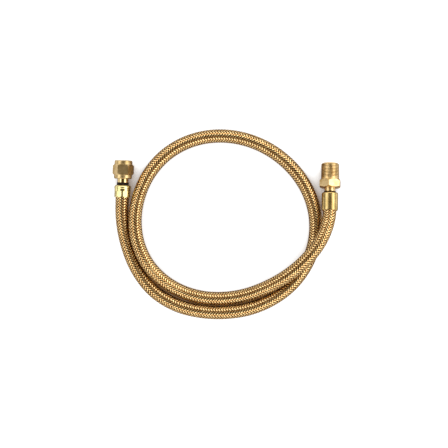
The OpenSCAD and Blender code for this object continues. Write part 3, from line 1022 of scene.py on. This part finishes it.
class SUPPLY_OT_swivel_nut(bpy.types.Operator):
    """Turns the swivel nut from hex bar, with a collar at each end and its thread cut inside"""

    bl_idname = "supply_line.swivel_nut"
    bl_label = "Swivel nut"

    def execute(self, context):
        scene = context.scene
        nut, ends, finishes = scene.supply_nut, scene.supply_ends, scene.supply_finishes
        corner, collar = corner_of(nut.flats), nut.collar / 2
        back, front = nut.start, nut.start + nut.long
        hex_low, hex_high = back + nut.back, front - nut.front
        r, fine = nut.thread / 2, nut.pitch / 8
        thread = front - nut.thread_length
        outline = [
            (nut.hole / 2, back), (collar - nut.chamfer, back), (collar, back + nut.chamfer),
            (collar, hex_low), (corner, hex_low + nut.cone), (corner, hex_high - nut.cone),
            (collar, hex_high), (collar, front - nut.chamfer), (collar - nut.chamfer, front),
            (r + nut.mouth, front),
        ]
        outline += in_steps((r, front - nut.mouth), (r, thread), fine)
        floor = back + nut.shoulder
        outline += [(nut.chamber / 2, thread), (nut.chamber / 2, floor), (nut.hole / 2, floor)]
        made = turned("swivel_nut_body", eased(outline, ends.ease))

        def threaded(radius, turn, z):
            """Radius after the thread is cut."""
            if z < thread - TOUCH or radius > r + TOUCH:
                return radius
            cone = r + nut.mouth - (front - z)
            return max(cone, r - nut.depth * ridge(turn, z, nut.pitch))

        reshape(made, threaded)
        trim_to_hex(made, nut.flats, 0, back - MM, front + MM, ends.ease)
        leave_film(made, thread, lambda z: r - nut.depth, nut.depth, way=1)
        place = nut_place(ends)
        metal = brass(
            "turned_brass_nut", finishes.nut, finishes.nut_dark, place, rough=0.35, film=finishes.film
        )
        stand_for(finish_turned(made, place), "swivel_nut", metal, "nut")
        return {"FINISHED"}


class SUPPLY_OT_seat_washer(bpy.types.Operator):
    """Moulds the rubber cone washer that seals the nut end"""

    bl_idname = "supply_line.seat_washer"
    bl_label = "Seat washer"

    def execute(self, context):
        scene = context.scene
        nut, ends = scene.supply_nut, scene.supply_ends
        low = nut.flange_start + nut.flange_length
        hole, wide, tip = nut.washer_hole / 2, nut.washer / 2, nut.washer_tip / 2
        outline = [
            (hole, low), (wide, low), (wide, low + nut.washer_base),
            (tip, low + nut.washer_length), (hole, low + nut.washer_length),
        ]
        made = finish_turned(turned("cone_washer", eased(outline, ends.ease), steps=72), nut_place(ends))
        rubber = hose_rubber("moulded_washer_rubber", scene.supply_finishes)
        stand_for(made, "seat_washer", rubber, "line")
        return {"FINISHED"}


class SUPPLY_OT_rubber_tube(bpy.types.Operator):
    bl_idname = "supply_line.rubber_tube"
    bl_label = "Rubber tube"

    def execute(self, context):
        scene = context.scene
        hose, ends, ferrules = scene.supply_hose, scene.supply_ends, scene.supply_ferrules
        line = hose_line(ends, ferrules.nut_length + ends.nut_rubber, ferrules.male_length + ends.male_rubber)
        long = distances(line)[-1]
        rings, sides = 240, 32
        at, along, side, up = on_line(line, np.linspace(0, long, rings))
        turns = np.arange(sides) / sides * FULL_TURN
        spokes = np.cos(turns)[None, :, None] * side[:, None] + np.sin(turns)[None, :, None] * up[:, None]
        skins = [at[:, None] + r * spokes for r in (hose.tube / 2, hose.bore / 2)]
        inner, k = rings * sides, np.arange(sides)
        on, end = (k + 1) % sides, (rings - 1) * sides
        faces = np.vstack([
            sleeve_faces(rings, sides),
            sleeve_faces(rings, sides, inner)[:, ::-1],
            np.stack([k, inner + k, inner + on, on], 1),
            np.stack([end + k, end + on, inner + end + on, inner + end + k], 1),
        ])
        made = mesh_of("rubber_tube", np.stack(skins), faces)
        rubber = hose_rubber("extruded_hose_rubber", scene.supply_finishes)
        stand_for(made, "inner_tube", rubber, "line")
        return {"FINISHED"}


class SUPPLY_PT_panel(bpy.types.Panel):
    """Lists the steps that build the supply line"""

    bl_idname = "SUPPLY_PT_panel"
    bl_label = "Supply line"
    bl_space_type = "VIEW_3D"
    bl_region_type = "UI"
    bl_category = "Supply line"

    def draw(self, context):
        for step in STEPS:
            self.layout.operator(step.bl_idname)
        for group, field in GROUPS:
            self.layout.label(text=group.__doc__)
            for name in group.__annotations__:
                self.layout.prop(getattr(context.scene, field), name)


GROUPS = (
    (HoseSizes, "supply_hose"),
    (EndSizes, "supply_ends"),
    (FerruleSizes, "supply_ferrules"),
    (NutSizes, "supply_nut"),
    (MaleSizes, "supply_male"),
    (Finishes, "supply_finishes"),
    (StageSizes, "supply_stage"),
)
STEPS = (
    SUPPLY_OT_stage,
    SUPPLY_OT_braid,
    SUPPLY_OT_ferrules,
    SUPPLY_OT_nut_stem,
    SUPPLY_OT_male_stem,
    SUPPLY_OT_swivel_nut,
    SUPPLY_OT_seat_washer,
    SUPPLY_OT_rubber_tube,
)


def register():
    """Makes the sizes, the steps and the panel known to Blender."""
    for group, field in GROUPS:
        bpy.utils.register_class(group)
        setattr(bpy.types.Scene, field, bpy.props.PointerProperty(type=group))
    for step in (*STEPS, SUPPLY_PT_panel):
        bpy.utils.register_class(step)


def unregister():
    """Takes out again what register puts in."""
    for step in reversed((*STEPS, SUPPLY_PT_panel)):
        bpy.utils.unregister_class(step)
    for group, field in reversed(GROUPS):
        delattr(bpy.types.Scene, field)
        bpy.utils.unregister_class(group)


def main():
    """Registers the steps and builds every piece in order."""
    register()
    bpy.ops.supply_line.stage()
    bpy.ops.supply_line.braid()
    bpy.ops.supply_line.ferrules()
    bpy.ops.supply_line.nut_stem()
    bpy.ops.supply_line.male_stem()
    bpy.ops.supply_line.swivel_nut()
    bpy.ops.supply_line.seat_washer()
    bpy.ops.supply_line.rubber_tube()


if __name__ == "__main__":
    main()
